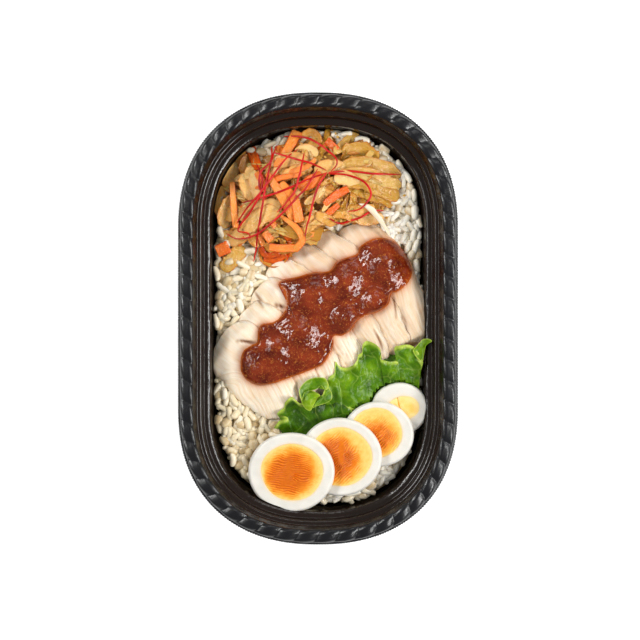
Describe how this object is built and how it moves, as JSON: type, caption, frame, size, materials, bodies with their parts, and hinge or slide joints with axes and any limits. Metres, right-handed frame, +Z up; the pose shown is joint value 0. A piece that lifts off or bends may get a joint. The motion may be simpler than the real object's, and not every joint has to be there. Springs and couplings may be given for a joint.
{
  "type": "bento box meal",
  "caption": "Oval takeaway tray filled with barley rice, sliced chicken in thick sauce, braised burdock and carrot, lettuce and boiled egg.",
  "frame": {"origin": "centre of the tray's underside, on the surface it stands on", "axes": "+Z up out of the tray, +Y along the long side towards the burdock end, +X across to the right seen from above"},
  "size_m": [0.1428, 0.23, 0.038],
  "materials": {
    "tray_plastic": "glossy black moulded plastic",
    "rice": "moist steamed grain",
    "braised_vegetables": "moist, slightly oily",
    "chicken": "moist poached meat",
    "sauce": "thick wet sauce",
    "lettuce": "fresh leaf",
    "egg_white": "smooth set egg white",
    "egg_yolk": "creamy yolk with knife ridges"
  },
  "bodies": {
    "root": {"tray": "tray_plastic", "barley_rice_bed": "rice", "burdock_carrot_heap": "braised_vegetables", "chicken_slice_1": "chicken", "chicken_slice_2": "chicken", "chicken_slice_3": "chicken", "chicken_slice_4": "chicken", "chicken_slice_5": "chicken", "chicken_slice_6": "chicken", "chicken_slice_7": "chicken", "chicken_shred": "chicken", "sauce": "sauce", "lettuce_leaf": "lettuce", "egg_white_1": "egg_white", "egg_yolk_1": "egg_yolk", "egg_white_2": "egg_white", "egg_yolk_2": "egg_yolk", "egg_white_3": "egg_white", "egg_yolk_3": "egg_yolk", "egg_white_4": "egg_white", "egg_yolk_4": "egg_yolk"}
  },
  "joints": []
}
